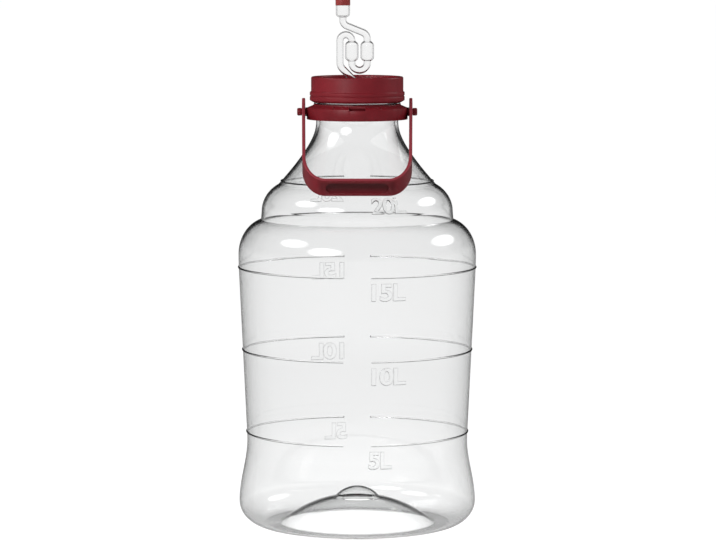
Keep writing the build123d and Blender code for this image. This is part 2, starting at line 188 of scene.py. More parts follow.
def floor_material():
    """Diffuse with an added glow for camera, glossy and transmission rays."""
    material, add = blank_material("studio_floor")
    path = add("ShaderNodeLightPath")
    seen = either_ray(add, path, "Is Camera Ray", "Is Glossy Ray", "Is Transmission Ray")
    tone = add("ShaderNodeMix", {0: seen, 6: FLOOR_PLAIN, 7: FLOOR_SEEN}, data_type="RGBA")
    place = add("ShaderNodeTexCoord").outputs["Object"]
    grain = add("ShaderNodeTexNoise", {"Vector": place, "Scale": FLOOR_GRAIN_SCALE})
    soft = add("ShaderNodeMapRange", {0: grain.outputs[0], 3: FLOOR_GRAIN_TONE, 4: 1.0})
    shade = add("ShaderNodeMix", {0: 1.0, 6: tone.outputs[2], 7: soft.outputs[0]}, data_type="RGBA",
                blend_type="MULTIPLY")
    plain = add("ShaderNodeBsdfDiffuse", {"Color": shade.outputs[2]})
    away = add("ShaderNodeVectorMath", {0: place}, operation="LENGTH")
    share = add("ShaderNodeMapRange", {0: away.outputs["Value"], 2: FLOOR_THROUGH_REACH})
    bent = add("ShaderNodeMix", {0: path.outputs["Is Transmission Ray"], 2: FLOOR_MIRROR_GLOW,
                                 3: grey_ramp(add, share.outputs[0], FLOOR_THROUGH_STOPS)})
    level = add("ShaderNodeMix", {0: path.outputs["Is Camera Ray"], 2: bent.outputs[0], 3: FLOOR_GLOW})
    shown = add("ShaderNodeMath", {0: seen, 1: level.outputs[0]}, operation="MULTIPLY")
    glow = add("ShaderNodeEmission", {"Color": WHITE, "Strength": shown.outputs[0]})
    both = add("ShaderNodeAddShader", {0: plain.outputs[0], 1: glow.outputs[0]})
    add("ShaderNodeOutputMaterial", {"Surface": both.outputs[0]})
    return material


floor_mesh = bpy.data.meshes.new("floor")
floor_corners = np.array([(-1, -1), (1, -1), (1, 1), (-1, 1)]) * FLOOR_REACH
floor_points = np.column_stack([floor_corners, np.full(4, -FLOOR_GAP)]) * MM
floor_mesh.from_pydata(floor_points.tolist(), [], [(0, 1, 2, 3)])
floor_mesh.materials.append(floor_material())
floor = linked("floor", floor_mesh)

# Bottle. One piece blown from clear PET: a hollow wall of about a millimetre with raised volume
# rings, a pushed-in base that stands on a ring, and a thicker neck with its support bead and
# thread. It stands loose on the floor and carries everything else.
HEEL_RADIUS, HEEL_RUN, HEEL_RISE = 135.5, 32.0, 28.0
WAIST_RADIUS, WAIST_HEIGHT = 126.4, 102.0
SHOULDER_RADIUS, SHOULDER_HEIGHT, SHOULDER_EASE = 135.8, 312.0, 20.0
SHOULDER_RUN, SHOULDER_RISE = 35.0, 41.0
DRUM_RADIUS, DRUM_HEIGHT, DRUM_TAPER = 110.0, 9.4, 0.8
DOME_RUN, DOME_RISE = 40.0, 36.0
CREASE_RADIUS, CREASE_SLOPE = 90.0, 0.9
CONE_HEIGHT, THROAT_RADIUS, THROAT_SHARE = 71.5, 60.3, 0.52
FOOT_WIDTH, DOME_LIFT, DOME_SLOPE = 15.0, 30.0, 0.2
NIPPLE_RADIUS, NIPPLE_LIFT = 25.0, 12.0
BODY_WALL, NECK_WALL = 1.3, 3.3
NECK_RADIUS, COLLAR_SEAT, FINISH_HEIGHT = 46.8, 20.4, 12.6
BEAD_HEIGHT, BEAD_PROJECTION, BEAD_BEVEL = 1.8, 2.5, 0.4
RING_COUNT, LOWEST_RING_LIFT, HIGHEST_RING_DROP = 3, 6.0, 15.0
CONE_RING_TRAVEL, RING_SIZE, RING_LIFT, RING_GAP, RING_END = 5.0, 0.9, 0.2, 31.0, 0.5
THREAD_PITCH, THREAD_DEPTH, THREAD_ROOT, THREAD_CREST = 4.5, 2.0, 2.6, 1.2
THREAD_TURNS, THREAD_START, THREAD_RUN_OUT = 1.5, 3.2, 0.03
CORNER_REACH, CORNER_POINTS, EASE_POINTS, SIDE_ROWS, THREAD_ROWS = 2.5, 7, 5, 8, 24
OUTER_ROWS, INNER_ROWS, RING_ROWS = 20, 14, np.linspace(-1.12, 1.12, 9)
BOTTLE_COLUMNS, COLUMN_SHIFTS, CONE_RING_INSET = 180, (-0.25, 0.0, 0.25, 0.6), 6.0
LEAST_ROW, LEAST_STEP, SURFACE_SLACK = 1e-4, 1e-6, 0.01
PET_TINT, LAMP_THROUGH, HAZE_LOW, HAZE_HIGH = (0.99, 0.993, 0.993, 1), (0.93, 0.93, 0.93, 1), 0.6, 1.4
# The grazing ramps and the depth, rim and edge values below set painted shade: dark outlines where the wall
# is seen edge-on, on the ridges and round the figures.
PET_GRAZING = ((0.0, 1.0), (0.35, 0.98), (0.5, 0.93), (0.62, 0.86), (0.8, 0.72), (0.9, 0.55), (1.0, 0.35))
RIM_GRAZING = ((0.0, 1.0), (0.75, 1.0), (0.81, 0.55), (0.87, 0.1), (0.93, 0.01), (1.0, 0.0))
THICK_WITHIN, THIN_BEYOND = 78.0, 92.0
NECK_DEPTH, BASE_DEPTH, RING_DEPTH, FAR_DEPTH = 2.3, 0.15, 7.0, 0.7
NECK_RIM, SHOULDER_RIM, BASE_RIM, RING_RIM, RIM_FADE = 3.5, 2.2, 5.0, 8.0, 22.0
# The foot's lowest tenth of a millimetre is darkened as painted contact shade where it stands on the floor.
CONTACT_SHADE_HEIGHT, CONTACT_SHADE_TONE, EDGE_TONE, FAR_EDGE = 0.1, 0.5, 0.03, 0.0
SHOULDER_SWEEP = math.acos((DRUM_RADIUS - SHOULDER_RADIUS) / SHOULDER_RUN + 1)
DRUM_FOOT = SHOULDER_HEIGHT + SHOULDER_RISE * math.sin(SHOULDER_SWEEP)
DRUM_TOP = DRUM_FOOT + DRUM_HEIGHT
DOME_CENTRE = DRUM_RADIUS - DRUM_TAPER - DOME_RUN
CREASE_HEIGHT = DRUM_TOP + DOME_RISE * math.sin(math.acos((CREASE_RADIUS - DOME_CENTRE) / DOME_RUN))
NECK_HEIGHT = CREASE_HEIGHT + CONE_HEIGHT
BEAD_FOOT = NECK_HEIGHT + COLLAR_SEAT
BEAD_TOP = BEAD_FOOT + BEAD_HEIGHT
RIM_HEIGHT = BEAD_TOP + FINISH_HEIGHT
BORE_RADIUS = NECK_RADIUS - NECK_WALL


def straight(*points):
    """Run through given points."""
    return np.array(points, float)


def tangent_arc(start, tangent, end, count):
    """Circular arc that leaves start along a tangent: its radius is chord squared / (2 chord . normal)."""
    start, tangent, end = (np.array(value, float) for value in (start, tangent, end))
    tangent /= np.linalg.norm(tangent)
    normal = np.array([-tangent[1], tangent[0]])
    chord = end - start
    radius = chord @ chord / (2 * chord @ normal)
    angle = np.linspace(0, 2 * np.arctan2(chord @ normal, chord @ tangent), count)[:, None]
    return start + radius * (np.sin(angle) * tangent + (1 - np.cos(angle)) * normal)


def ellipse_arc(centre, run, rise, start, end, count):
    """Arc of an ellipse: centre + (run cos a, rise sin a) from one angle to another."""
    angle = np.linspace(start, end, count)
    return np.stack([centre[0] + run * np.cos(angle), centre[1] + rise * np.sin(angle)], axis=1)


def smooth_line(points, first, last, count):
    """Cubic runs through two or three points: unit tangents at the ends, one curvature at the middle."""
    points = np.array(points, float)
    steps = np.diff(points, axis=0)
    spans = np.linalg.norm(steps, axis=1)
    slopes = [np.array(first) / np.linalg.norm(first), np.array(last) / np.linalg.norm(last)]
    if len(points) == 3:
        near, far = spans
        pull = 3 * (far / near * steps[0] + near / far * steps[1]) - far * slopes[0] - near * slopes[1]
        slopes.insert(1, pull / (2 * (near + far)))
    t = np.linspace(0, 1, count)[:, None]
    runs = [(2 * t**3 - 3 * t**2 + 1) * points[i] + (t**3 - 2 * t**2 + t) * spans[i] * slopes[i]
            + (3 * t**2 - 2 * t**3) * points[i + 1] + (t**3 - t**2) * spans[i] * slopes[i + 1]
            for i in range(len(spans))]
    return np.vstack(runs)


def travel(line):
    """Length along a line of points, from its start to each point."""
    return np.concatenate([[0], np.cumsum(np.linalg.norm(np.diff(line, axis=0), axis=1))])


def stations(line, places):
    """Points of a line at given lengths along it."""
    along = travel(line)
    return np.stack([np.interp(places, along, line[:, axis]) for axis in range(line.shape[1])], axis=1)


def eased(before, after, reach):
    """Join two runs and cut their shared corner with a quadratic Bezier that starts a reach away."""
    corner = after[0]
    arrive, leave = travel(before), travel(after)
    cut = arrive[-1] - reach
    before = stations(before, np.append(arrive[arrive < cut], cut))
    after = stations(after, np.append(reach, leave[leave > reach]))
    t = np.linspace(0, 1, CORNER_POINTS)[1:-1, None]
    bend = (1 - t)**2 * before[-1] + 2 * t * (1 - t) * corner + t**2 * after[0]
    return np.vstack([before, bend, after])


def bottle_line(inset, rows):
    """Section of the wall from the axis under the base up to the neck, drawn in by an inset."""
    foot_outside = HEEL_RADIUS - HEEL_RUN
    foot_inside = foot_outside - FOOT_WIDTH + inset / 2
    nipple_edge = (NIPPLE_RADIUS + inset / 2, DOME_LIFT + inset)
    nipple = tangent_arc((0, DOME_LIFT + NIPPLE_LIFT + inset), (1, 0), nipple_edge, rows // 2)
    under = tangent_arc(nipple_edge, (1, -DOME_SLOPE), (foot_inside, inset), rows)
    foot = straight((foot_inside, inset), (foot_outside, inset))
    heel = ellipse_arc((foot_outside, HEEL_RISE), HEEL_RUN - inset, HEEL_RISE - inset, -math.pi / 2, 0, rows)
    waist = np.array((WAIST_RADIUS - inset, WAIST_HEIGHT))
    corner = np.array((SHOULDER_RADIUS - inset, SHOULDER_HEIGHT - SHOULDER_EASE / 2))
    taper = (corner - waist) / np.linalg.norm(corner - waist)
    flank = smooth_line([heel[-1], waist], (0, 1), taper, rows)
    ease_start = corner - taper * SHOULDER_EASE / 2
    ease = tangent_arc(ease_start, taper, (SHOULDER_RADIUS - inset, SHOULDER_HEIGHT), EASE_POINTS)
    shoulder_centre = SHOULDER_RADIUS - SHOULDER_RUN
    shoulder_end = math.acos((DRUM_RADIUS - shoulder_centre - inset) / (SHOULDER_RUN - inset))
    shoulder = ellipse_arc((shoulder_centre, SHOULDER_HEIGHT), SHOULDER_RUN - inset, SHOULDER_RISE - inset,
                           0, shoulder_end, rows)
    dome_end = math.acos((CREASE_RADIUS - DOME_CENTRE - inset) / (DOME_RUN - inset))
    dome = ellipse_arc((DOME_CENTRE, DRUM_TOP), DOME_RUN - inset, DOME_RISE - inset, 0, dome_end, rows)
    neck_end = BORE_RADIUS if inset else NECK_RADIUS
    share = THROAT_SHARE * (NECK_RADIUS - neck_end) + (1 - THROAT_SHARE) * inset
    throat = (THROAT_RADIUS - share, CREASE_HEIGHT + THROAT_SHARE * CONE_HEIGHT)
    cone = smooth_line([dome[-1], throat, (neck_end, NECK_HEIGHT)], (-CREASE_SLOPE, 1), (0, 1), 2 * rows)
    base = eased(eased(nipple, under, CORNER_REACH), foot, CORNER_REACH)
    return base, heel, flank, np.vstack([waist, ease_start]), ease, shoulder, dome, cone


def ring_heights():
    """Heights of the rings that mark the lower volumes, evenly spaced between waist and shoulder."""
    return np.linspace(WAIST_HEIGHT + LOWEST_RING_LIFT, SHOULDER_HEIGHT - HIGHEST_RING_DROP, RING_COUNT)


def outer_line():
    """Whole outer section up to the rim, with close rows at each ring, and the rings' lengths along it."""
    base, heel, flank, side, ease, shoulder, dome, cone = bottle_line(0, OUTER_ROWS)
    edge = NECK_RADIUS + BEAD_PROJECTION
    thread_foot = BEAD_TOP + THREAD_START - THREAD_ROOT / 2
    thread_top = thread_foot + THREAD_TURNS * THREAD_PITCH + THREAD_ROOT
    finish = [(NECK_RADIUS, height) for height in np.linspace(thread_foot, thread_top, THREAD_ROWS)]
    neck = straight((NECK_RADIUS, NECK_HEIGHT + COLLAR_SEAT / 2), (NECK_RADIUS, BEAD_FOOT),
                    (edge - BEAD_BEVEL, BEAD_FOOT), (edge, BEAD_FOOT + BEAD_BEVEL),
                    (edge, BEAD_TOP - BEAD_BEVEL), (edge - BEAD_BEVEL, BEAD_TOP), (NECK_RADIUS, BEAD_TOP),
                    *finish, (NECK_RADIUS, RIM_HEIGHT - BEAD_BEVEL), (NECK_RADIUS - BEAD_BEVEL, RIM_HEIGHT))
    side = stations(side, np.linspace(0, travel(side)[-1], SIDE_ROWS))
    upper = np.vstack([heel, flank[1:], side, ease, shoulder, dome, cone, neck])
    low = travel(np.vstack([base, upper[:1]]))[-1]
    marks = np.interp(np.append(ring_heights(), CREASE_HEIGHT), upper[:, 1], travel(upper)) + low
    marks[-1] += CONE_RING_TRAVEL
    line = np.vstack([base, upper])
    places = np.sort(np.concatenate([travel(line), (marks[:, None] + RING_ROWS).ravel()]))
    return stations(line, places[np.append(True, np.diff(places) > LEAST_ROW)]), marks


def inner_line():
    """Inner section from the rim down to the axis above the base."""
    line = np.vstack(bottle_line(BODY_WALL, INNER_ROWS))
    line = line[np.append(True, np.linalg.norm(np.diff(line, axis=0), axis=1) > LEAST_STEP)]
    top = straight((BORE_RADIUS, (NECK_HEIGHT + RIM_HEIGHT) / 2), (BORE_RADIUS, RIM_HEIGHT - BEAD_BEVEL),
                   (BORE_RADIUS + BEAD_BEVEL, RIM_HEIGHT))
    return np.vstack([line, top])[::-1]


def bottle_columns():
    """Angles round the axis: even steps, with closer ones where the rings stop at front and back."""
    radii = np.array([CREASE_RADIUS - CONE_RING_INSET, WAIST_RADIUS, SHOULDER_RADIUS])
    ends = np.degrees(np.arcsin(RING_GAP / 2 / radii))
    close = np.concatenate([ends + shift for shift in COLUMN_SHIFTS])
    even = np.linspace(-180, 180, BOTTLE_COLUMNS, endpoint=False)
    angle = np.concatenate([even, *(middle + side * close for middle in (-90, 90) for side in (-1, 1))])
    return np.radians(np.unique(np.round(angle, 3)))


def ring_relief(radius, along, marks, angle):
    """Rings: half-round ridges, lift + sqrt(size^2 - distance^2), off round the front and back middle."""
    across = np.abs(np.cos(angle)[None, :] * radius[:, None])
    shown = np.clip((across - RING_GAP / 2) / RING_END, 0, 1)
    distance = np.abs(along[:, None] - marks[None, :]).min(axis=1)
    ridge = np.where(distance < RING_SIZE, RING_LIFT + np.sqrt(np.maximum(RING_SIZE**2 - distance**2, 0)), 0)
    return ridge[:, None] * shown


def thread_relief(height, angle):
    """Helical rib: at each turn t its middle is start + pitch t, with flanks that fall from crest to root."""
    turn = (angle % (2 * np.pi)) / (2 * np.pi)
    relief = np.zeros((len(height), len(angle)))
    for whole in range(math.ceil(THREAD_TURNS)):
        t = turn + whole
        middle = BEAD_TOP + THREAD_START + THREAD_PITCH * t
        away = np.abs(height[:, None] - middle[None, :])
        rib = np.clip((THREAD_ROOT / 2 - away) / (THREAD_ROOT / 2 - THREAD_CREST / 2), 0, 1)
        ends = np.clip(np.minimum(t, THREAD_TURNS - t) / THREAD_RUN_OUT, 0, 1)
        relief = np.maximum(relief, THREAD_DEPTH * rib * ends[None, :])
    return relief


def section_normals(line):
    """Outward unit normal at each point of a section that runs upward on its outer side."""
    slope = np.gradient(line, axis=0)
    slope /= np.linalg.norm(slope, axis=1)[:, None]
    return np.stack([slope[:, 1], -slope[:, 0]], axis=1)


def turned(line, angle, relief=0.0):
    """Surface of revolution: (r cos a, r sin a, z) for each section point and angle, raised by a relief."""
    normal = section_normals(line)
    radius = line[:, :1] + normal[:, :1] * relief
    height = line[:, 1:] + normal[:, 1:] * relief + 0 * angle[None, :]
    return np.stack([radius * np.cos(angle), radius * np.sin(angle), height], axis=2)


def surface_piece(name, grid, loop_rows, sharp=35.0):
    """Mesh over a grid of points in millimetres, closed round its columns, and either round its rows or with
    a pole beyond the first and the last. Faces are turned outward by the sign of the enclosed volume."""
    rows, columns = grid.shape[:2]
    index = np.arange(rows * columns).reshape(rows, columns)
    if loop_rows:
        index = np.vstack([index, index[:1]])
    side = np.roll(index, -1, axis=1)
    quads = np.stack([index[:-1], side[:-1], side[1:], index[1:]], axis=2).reshape(-1, 4)
    points = grid.reshape(-1, 3)
    triangles = np.concatenate([quads[:, [0, 1, 2]], quads[:, [0, 2, 3]]])
    faces = quads.tolist()
    if not loop_rows:
        low, high = rows * columns, rows * columns + 1
        points = np.vstack([points, grid[0].mean(axis=0), grid[-1].mean(axis=0)])
        fans = np.concatenate([np.stack([np.full(columns, low), side[0], index[0]], axis=1),
                               np.stack([np.full(columns, high), index[-1], side[-1]], axis=1)])
        triangles = np.concatenate([triangles, fans])
        faces += fans.tolist()
    a, b, c = (points[triangles[:, corner]] for corner in range(3))
    if np.sum(a * np.cross(b, c)) < 0:
        faces = [face[::-1] for face in faces]
    mesh = bpy.data.meshes.new(name)
    mesh.from_pydata((points * MM).tolist(), [], faces)
    mesh.polygons.foreach_set("use_smooth", np.ones(len(mesh.polygons), bool))
    mesh.set_sharp_from_angle(angle=math.radians(sharp))
    return linked(name, mesh)


def clear_plastic(name, tint, grazing_stops, roughness, ior, wave_scale, wave_height):
    """Clear plastic with a faint waviness. It is darker where it is seen along its surface, by the powers of
    its depth mark and its rim mark, and at marked edges: painted shade for the dark outlines that clear
    plastic shows by refraction. It is darker on the lowest tenth of a millimetre of its foot: painted
    contact shade where it stands on the floor. On surfaces seen from inside, as at the far wall, the
    marks count less. Lamp light passes straight through, a little dimmed."""
    material, add = blank_material(name)
    place = add("ShaderNodeTexCoord").outputs["Object"]
    waves = add("ShaderNodeTexNoise", {"Vector": place, "Scale": wave_scale, "Detail": 1.0})
    bump = add("ShaderNodeBump", {"Height": waves.outputs[0], "Distance": wave_height * MM, "Strength": 1.0})
    haze = add("ShaderNodeTexNoise", {"Vector": place, "Scale": 3 * wave_scale, "Detail": 3.0})
    rough = add("ShaderNodeMapRange", {0: haze.outputs[0], 3: HAZE_LOW * roughness, 4: HAZE_HIGH * roughness})
    # Painted shade for dark outlines: the colour darkens as the wall is seen more edge-on.
    facing = add("ShaderNodeLayerWeight", {"Blend": 0.5}).outputs["Facing"]
    height = add("ShaderNodeSeparateXYZ", {0: place}).outputs["Z"]
    inside = add("ShaderNodeNewGeometry").outputs["Backfacing"]
    deepest = add("ShaderNodeMapRange", {0: inside, 3: RING_DEPTH, 4: FAR_DEPTH})
    depth_mark = add("ShaderNodeAttribute", attribute_name="depth").outputs["Fac"]
    power = add("ShaderNodeMath", {0: depth_mark, 1: deepest.outputs[0]}, operation="MINIMUM")
    body_clear = add("ShaderNodeMath", {0: grey_ramp(add, facing, grazing_stops), 1: power.outputs[0]},
                     operation="POWER")
    rim_mark = add("ShaderNodeAttribute", attribute_name="rim").outputs["Fac"]
    rim_ramp = grey_ramp(add, facing, RIM_GRAZING)
    rim_clear = add("ShaderNodeMath", {0: rim_ramp, 1: rim_mark}, operation="POWER")
    clear = add("ShaderNodeMath", {0: body_clear.outputs[0], 1: rim_clear.outputs[0]}, operation="MULTIPLY")
    edge_share = add("ShaderNodeMapRange", {0: inside, 3: 1.0, 4: FAR_EDGE})
    edge_mark = add("ShaderNodeAttribute", attribute_name="edge").outputs["Fac"]
    edge = add("ShaderNodeMath", {0: edge_mark, 1: edge_share.outputs[0]}, operation="MULTIPLY")
    edge_tone = add("ShaderNodeMapRange", {0: edge.outputs[0], 3: 1.0, 4: EDGE_TONE})
    # Painted contact shade on the foot's land.
    contact_shade = add("ShaderNodeMapRange", {0: height, 1: 0.5 * CONTACT_SHADE_HEIGHT * MM, 2: CONTACT_SHADE_HEIGHT * MM,
                                       3: CONTACT_SHADE_TONE, 4: 1.0})
    # Both factors here are painted shade: the figures' dark outlines and the foot's contact shade.
    dulled = add("ShaderNodeMath", {0: edge_tone.outputs[0], 1: contact_shade.outputs[0]}, operation="MULTIPLY")
    tone = add("ShaderNodeMath", {0: clear.outputs[0], 1: dulled.outputs[0]}, operation="MULTIPLY")
    colour = add("ShaderNodeMix", {0: 1.0, 6: tint, 7: tone.outputs[0]}, data_type="RGBA",
                 blend_type="MULTIPLY")
    wall = add("ShaderNodeBsdfPrincipled", {"Base Color": colour.outputs[2], "Roughness": rough.outputs[0],
                                            "IOR": ior, "Transmission Weight": 1.0,
                                            "Normal": bump.outputs[0]})
    through = add("ShaderNodeBsdfTransparent", {"Color": LAMP_THROUGH})
    lamp_ray = add("ShaderNodeLightPath").outputs["Is Shadow Ray"]
    mixed = add("ShaderNodeMixShader", {0: lamp_ray, 1: wall.outputs[0], 2: through.outputs[0]})
    add("ShaderNodeOutputMaterial", {"Surface": mixed.outputs[0]})
    return material


def dressed(piece, material, body, slot, *nodes):
    """Give a piece its material and its body, and hide the CAD nodes that it stands for. Its slot is not
    used.
    """
    piece.data.materials.clear()
    piece.data.materials.append(material)
    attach(piece, body)
    if nodes:
        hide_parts(*nodes)


def marked(piece, name, values):
    """Store one value for each vertex of a piece, for its material to read."""
    mark = piece.data.attributes.new(name, "FLOAT", "POINT")
    mark.data.foreach_set("value", np.broadcast_to(values, len(piece.data.vertices)).astype(np.float32))


def wall_marks(grid, ridge):
    """Depth mark of the wall, 1 in the thin body, more in the thick neck and on the ridges, less in the base,
    and its rim mark, 0 in the body, which draws a fine dark line where the wall turns out of sight. Both
    marks set the strength of painted shade: the dark outlines that clear plastic shows by refraction."""
    radius = np.hypot(grid[:, :, 0], grid[:, :, 1])
    high = grid[:, :, 2] > WAIST_HEIGHT
    near = np.clip((THIN_BEYOND - radius) / (THIN_BEYOND - THICK_WITHIN), 0, 1)
    depth = 1 + near * (np.where(high, NECK_DEPTH, BASE_DEPTH) - 1)
    slope = SHOULDER_RIM * np.clip((grid[:, :, 2] - SHOULDER_HEIGHT) / RIM_FADE, 0, 1)
    rim = slope + near * (np.where(high, NECK_RIM, BASE_RIM) - slope)
    depth[:len(ridge)] = np.where(ridge > 0, RING_DEPTH, depth[:len(ridge)])
    rim[:len(ridge)] = np.where(ridge > 0, RING_RIM, rim[:len(ridge)])
    return np.append(depth.ravel(), (BASE_DEPTH, BASE_DEPTH)), np.append(rim.ravel(), (BASE_RIM, BASE_RIM))


clear_pet = clear_plastic("clear_pet", PET_TINT, PET_GRAZING, roughness=0.02, ior=1.5, wave_scale=14.0,
                          wave_height=0.15)
wall_line, ring_marks = outer_line()
round_angle = bottle_columns()
rings = ring_relief(wall_line[:, 0], travel(wall_line), ring_marks, round_angle)
on_finish = (wall_line[:, :1] < NECK_RADIUS + SURFACE_SLACK) & (wall_line[:, 1:] > BEAD_TOP)
relief = rings + thread_relief(wall_line[:, 1], round_angle) * on_finish
bottle_grid = np.vstack([turned(wall_line, round_angle, relief)[1:], turned(inner_line(), round_angle)[:-1]])
bottle = surface_piece("bottle_wall", bottle_grid, loop_rows=False)
depth_marks, rim_marks = wall_marks(bottle_grid, rings[1:])
marked(bottle, "depth", depth_marks)
marked(bottle, "rim", rim_marks)
dressed(bottle, clear_pet, "carboy", "clear_pet", "bottle")


# Volume numbers. Raised figures of the same clear PET, blown with the wall, right of the plain strip
# and below each ring, at the front and with less relief at the back.
NUMBER_HEIGHT, NUMBER_SINK, NUMBER_DROP = 20.0, 0.1, 6.8
FRONT_RISE, BACK_RISE = 0.9, 0.35
NUMBER_SPACING, NUMBER_DEPTH, NUMBER_BEVEL = 0.9, 0.001, 0.036
NUMBERS = (("5L", 12.3, 27.0), ("10L", 15.7, 40.7), ("15L", 15.7, 39.7), ("20L", 15.7, 40.0))
DOME_NUMBER_TOP = 383.0


def raised_number(text, left, width, top, turn, rise):
    """Text bent onto the wall: x becomes angle, y length along the section, z distance from the wall. Its
    widest outline lies at mid-depth, which goes to the wall, so that only the front bevel slopes."""
    curve = bpy.data.curves.new(text, "FONT")
    curve.body = text
    curve.space_character = NUMBER_SPACING
    curve.extrude, curve.bevel_depth = NUMBER_DEPTH, NUMBER_BEVEL
    carrier = linked(text, curve)
    bpy.context.view_layer.update()
    mesh = bpy.data.meshes.new_from_object(carrier.evaluated_get(bpy.context.evaluated_depsgraph_get()))
    flat = np.zeros(3 * len(mesh.vertices))
    mesh.vertices.foreach_get("co", flat)
    flat = flat.reshape(-1, 3)
    share = (flat - flat.min(axis=0)) / np.ptp(flat, axis=0)
    faces = [list(face.vertices) for face in mesh.polygons]
    bpy.data.objects.remove(carrier)
    bpy.data.meshes.remove(mesh)
    along = travel(wall_line)
    place = top - (1 - share[:, 1]) * NUMBER_HEIGHT
    wall = stations(wall_line, place)
    normal = section_normals(wall_line)
    normal = np.stack([np.interp(place, along, normal[:, axis]) for axis in (0, 1)], axis=1)
    lift = -NUMBER_SINK + np.maximum(2 * share[:, 2] - 1, 0) * (rise + NUMBER_SINK)
    angle = turn - math.pi / 2 + (left + share[:, 0] * width) / wall[:, 0].mean()
    radius = wall[:, 0] + normal[:, 0] * lift
    height = wall[:, 1] + normal[:, 1] * lift
    points = np.stack([radius * np.cos(angle), radius * np.sin(angle), height], axis=1)
    return points, faces, 1 - np.abs(2 * share[:, 2] - 1)


def joined(name, parts):
    """One mesh of several lists of points in millimetres and their faces."""
    points = np.vstack([part[0] for part in parts])
    starts = np.cumsum([0] + [len(part[0]) for part in parts[:-1]])
    faces = [[int(start) + vertex for vertex in face]
             for start, part in zip(starts, parts) for face in part[1]]
    mesh = bpy.data.meshes.new(name)
    mesh.from_pydata((points * MM).tolist(), [], faces)
    mesh.update()
    return linked(name, mesh)


widest = wall_line[:, 0].argmax()
dome_top = np.interp(DOME_NUMBER_TOP, wall_line[widest:, 1], travel(wall_line)[widest:])
number_tops = np.append(ring_marks[:RING_COUNT] - NUMBER_DROP, dome_top)
figures = [raised_number(text, left, width, top, turn, rise)
           for (text, left, width), top in zip(NUMBERS, number_tops)
           for turn, rise in ((0, FRONT_RISE), (math.pi, BACK_RISE))]
volume_numbers = joined("volume_numbers", figures)
marked(volume_numbers, "depth", 1.0)
# The edge mark paints a dark outline round each figure, as painted shade.
marked(volume_numbers, "edge", np.concatenate([edge for points, faces, edge in figures]))
dressed(volume_numbers, clear_pet, "carboy", "clear_pet")

# Cap. A red moulded screw cap with a panel sunk between a hollow rim, two bands round the skirt
# and a thread inside. It screws down over the neck onto its liner.
CAP_BEAD_GAP, CAP_SKIRT_WALL, CAP_RIM_HEIGHT, CAP_RIM_WIDTH = 0.2, 2.8, 15.0, 6.4
CAP_CORE_WALL, CAP_CORE_ROOF, CAP_PANEL, CAP_RIM_ROUND = 2.3, 2.6, 2.5, 1.9
CAP_UNDERSIDE_RISE, CAP_FOOT_LAND = 2.1, 0.8
CAP_BAND_HEIGHT, CAP_BAND_PROJECTION, CAP_GROOVE, CAP_BEAD, CAP_GROOVE_DEPTH = 4.0, 1.5, 1.9, 3.4, 0.7
LINER_THICKNESS, THREAD_GAP, GROMMET_HOLE = 1.5, 1.0, 6.6
CAP_COLUMNS, THREAD_END_GAP, CORNER_SHARE = 180, 0.5, 0.45
CAP_EDGE, FOOT_EDGE, PANEL_EDGE, ROOF_EDGE, HOLE_EDGE, BORE_EDGE = 0.5, 0.2, 0.6, 0.3, 0.1, 0.01
MOULDED_GLOSS, DRIFT_SCALE, DRIFT_LOW, DRIFT_HIGH, MOTTLE_LOW, MOTTLE_HIGH = 0.3, 45.0, 0.35, 0.7, 0.8, 1.2
CAP_RED, CAP_DEEP_RED = (0.23, 0.013, 0.021, 1), (0.19, 0.01, 0.017, 1)
PANEL_FOOT = RIM_HEIGHT + LINER_THICKNESS
PANEL_TOP = PANEL_FOOT + CAP_PANEL
CAP_FOOT = BEAD_TOP + CAP_BEAD_GAP
CAP_TOP = PANEL_FOOT + CAP_RIM_HEIGHT
SKIRT_BORE = NECK_RADIUS + THREAD_DEPTH + THREAD_GAP
CAP_RADIUS = SKIRT_BORE + CAP_SKIRT_WALL
RECESS_RADIUS = CAP_RADIUS - CAP_RIM_WIDTH


def rounded(corners, steps=4):
    """Closed outline from (x, y, reach) corners, each cut by a quadratic Bezier that starts a reach away."""
    corners = np.array(corners, float)
    points, reach = corners[:, :2], corners[:, 2]
    t = np.linspace(0, 1, steps)[:, None]
    line = []
    for index, corner in enumerate(points):
        sides = [points[index - 1] - corner, points[(index + 1) % len(points)] - corner]
        lengths = [np.linalg.norm(side) for side in sides]
        start, end = (corner + side / length * min(reach[index], CORNER_SHARE * length)
                      for side, length in zip(sides, lengths))
        line.append((1 - t)**2 * start + 2 * t * (1 - t) * corner + t**2 * end)
    return np.vstack(line)


